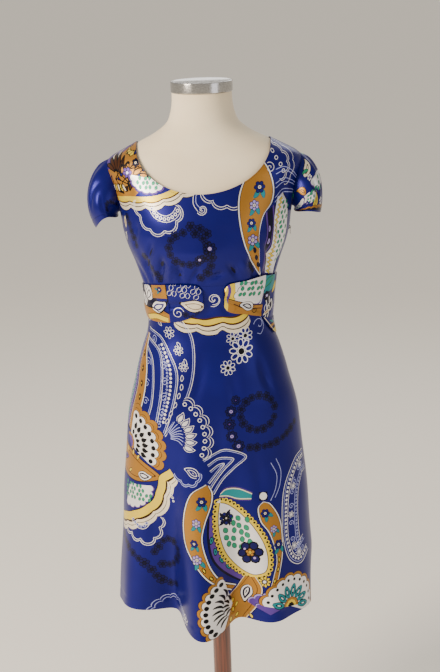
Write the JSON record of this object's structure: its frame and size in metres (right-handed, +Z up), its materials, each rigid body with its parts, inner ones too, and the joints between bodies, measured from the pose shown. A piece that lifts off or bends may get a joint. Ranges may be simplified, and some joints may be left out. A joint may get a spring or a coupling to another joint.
{
  "type": "cap-sleeved dress on a dress form stand",
  "caption": "Knee-length satin dress with puffed cap sleeves, a folded sash and a fluted A-line skirt, on a covered limbless dress form with a wooden pole and round base.",
  "frame": {"origin": "centre of the round base's underside, on the floor under the pole's axis", "axes": "+Z up along the pole, front of the dress towards -Y, the wearer's left towards +X"},
  "size_m": [0.4429, 0.37, 1.46],
  "materials": {
    "form_cover": "cream knitted cover, matt",
    "chrome_cap": "polished",
    "dark_wood": "varnished dark red-brown",
    "printed_satin": "royal blue satin with a paisley print",
    "sash_satin": "the same satin, from a busier part of the print",
    "zip_metal": "dark enamel"
  },
  "bodies": {
    "dress_on_form": {"form_body": "form_cover", "neck_cap": "chrome_cap", "stand_pole": "dark_wood", "stand_base": "dark_wood", "bodice_front": "printed_satin", "bodice_back": "printed_satin", "sleeve_left": "printed_satin", "sleeve_right": "printed_satin", "skirt_front": "printed_satin", "skirt_back": "printed_satin", "belt_wing_right": "sash_satin", "belt_loop_left": "sash_satin", "belt_knot": "sash_satin", "belt_tail": "sash_satin", "belt_back": "sash_satin", "zip_slider": "zip_metal"},
    "zip_pull": {"zip_pull": "zip_metal"}
  },
  "joints": [
    {"name": "zip_pull_swing", "type": "hinge", "parent": "dress_on_form", "child": "zip_pull", "pos_m": [0.15802, 0, 1.17959], "axis": [0, -1, 0], "range_deg": [0, 150]}
  ]
}
